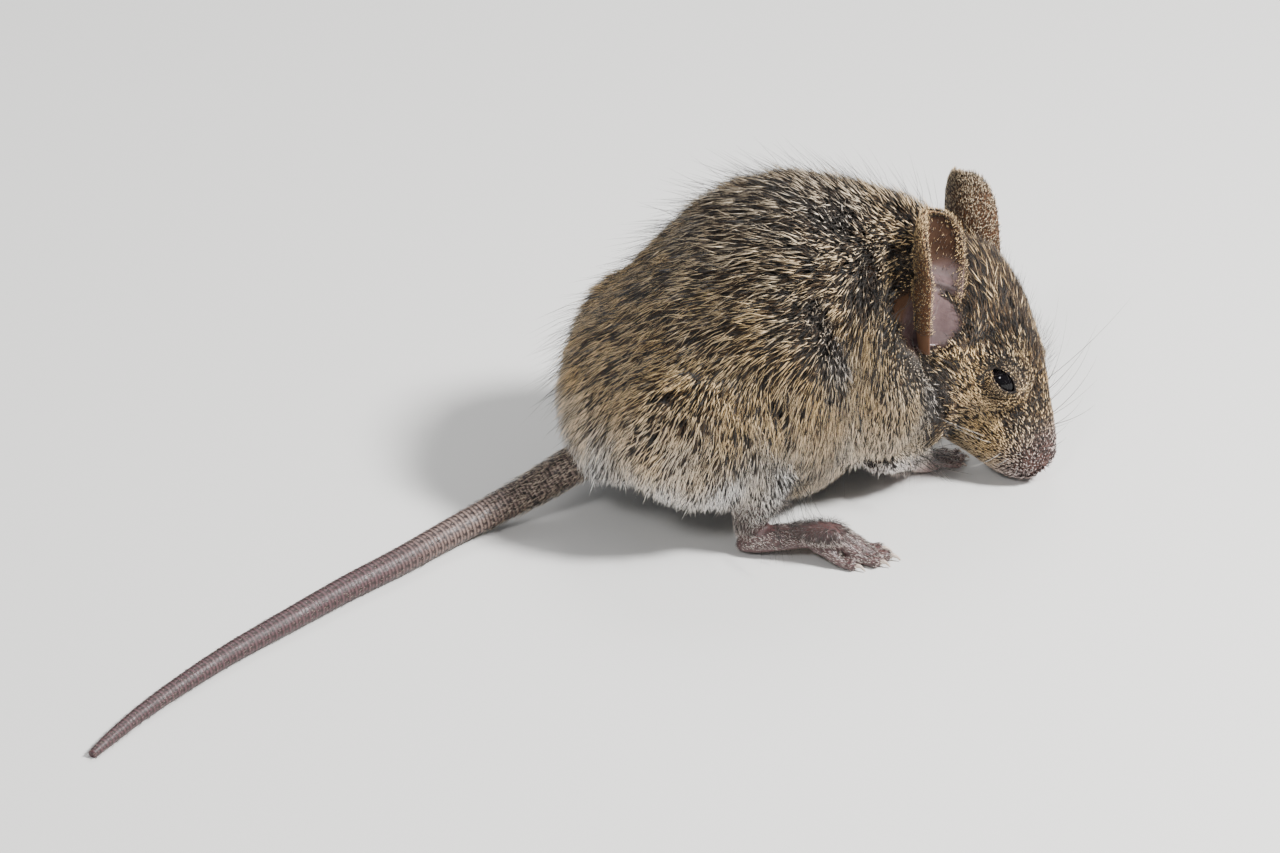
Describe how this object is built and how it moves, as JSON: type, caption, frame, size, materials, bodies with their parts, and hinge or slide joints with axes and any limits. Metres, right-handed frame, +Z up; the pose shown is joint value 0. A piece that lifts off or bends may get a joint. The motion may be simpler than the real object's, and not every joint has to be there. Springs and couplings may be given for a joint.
{
  "type": "house mouse",
  "caption": "House mouse, life size, crouched on all four feet with an arched back, head turned to its right, nose on the floor and tail laid out behind.",
  "frame": {"origin": "under the middle of the whole animal, on the floor", "axes": "+X the way the trunk faces, +Y the animal's left, +Z up"},
  "size_m": [0.114, 0.0544, 0.0387],
  "materials": {
    "coat": "fur, brown flecked with black and buff",
    "skin": "bare pinkish-brown skin with fine hairs",
    "eye": "wet black"
  },
  "bodies": {
    "root": {"chest": "coat", "ear_left": "skin", "ear_right": "skin", "eye_left": "eye", "eye_right": "eye", "forearm_left": "coat", "forearm_right": "coat", "forepaw_left": "skin", "forepaw_right": "skin", "head": "coat", "hind_foot_left": "skin", "hind_foot_right": "skin", "loin": "coat", "lower_jaw": "coat", "muzzle": "coat", "neck": "coat", "rump": "coat", "shank_left": "coat", "shank_right": "coat", "tail_1": "skin", "tail_2": "skin", "tail_3": "skin", "tail_4": "skin", "thigh_left": "coat", "thigh_right": "coat", "upper_arm_left": "coat", "upper_arm_right": "coat"}
  },
  "joints": []
}
